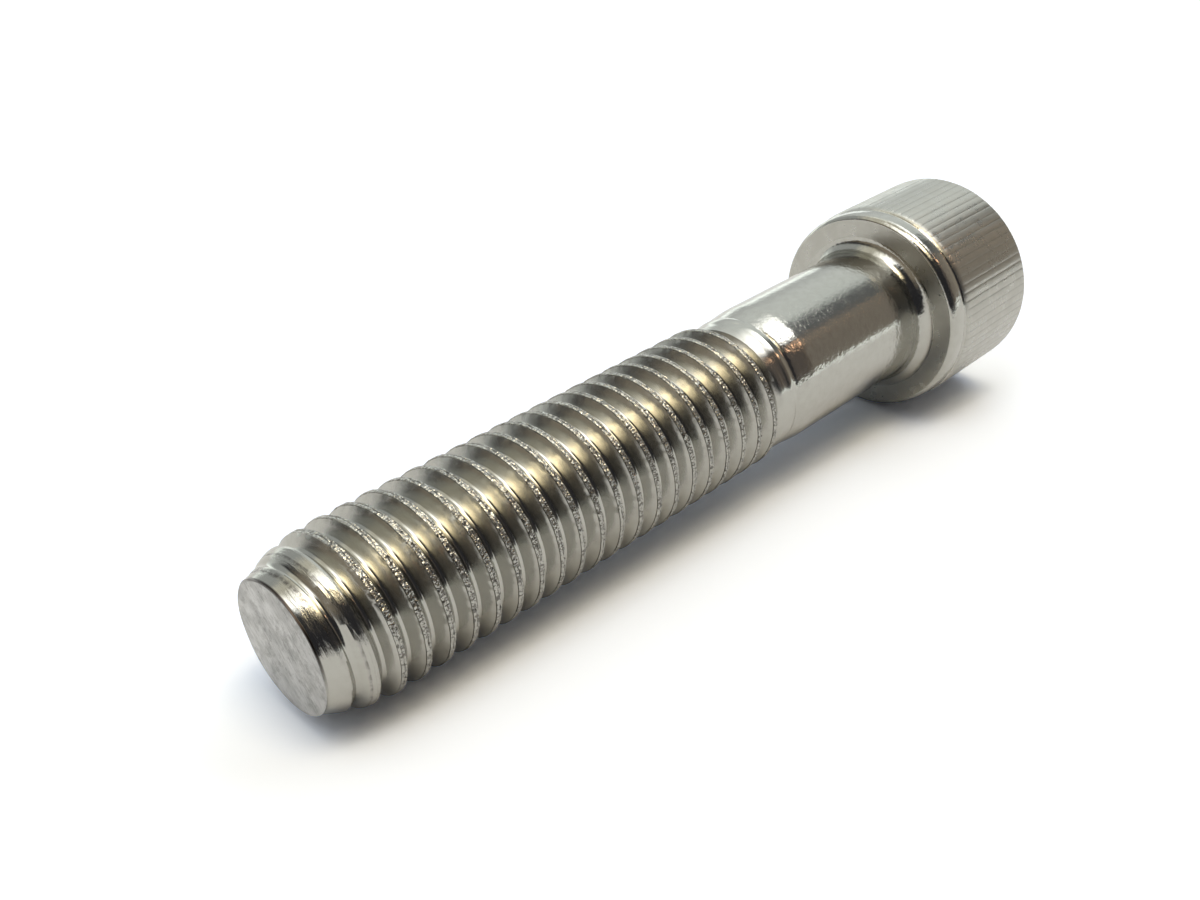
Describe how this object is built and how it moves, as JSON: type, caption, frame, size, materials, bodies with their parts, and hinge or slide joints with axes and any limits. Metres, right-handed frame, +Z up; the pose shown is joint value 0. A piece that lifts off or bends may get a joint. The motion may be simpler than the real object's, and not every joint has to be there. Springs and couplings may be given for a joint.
{
  "type": "hex socket head cap screw",
  "caption": "Stainless steel hex socket head cap screw with a knurled head, plain body and rolled thread, for bolting machine parts together.",
  "frame": {"origin": "centre of the head's bearing face, on the screw's axis", "axes": "+X along the axis from the tip towards the head and its socket, +Z up as the screw lies"},
  "size_m": [0.0761, 0.0188, 0.0188],
  "materials": {
    "stainless_steel": "satin to burnished stainless steel, smooth thread roots, grainy thread crests"
  },
  "bodies": {
    "root": {"cap_screw": "stainless_steel"}
  },
  "joints": []
}
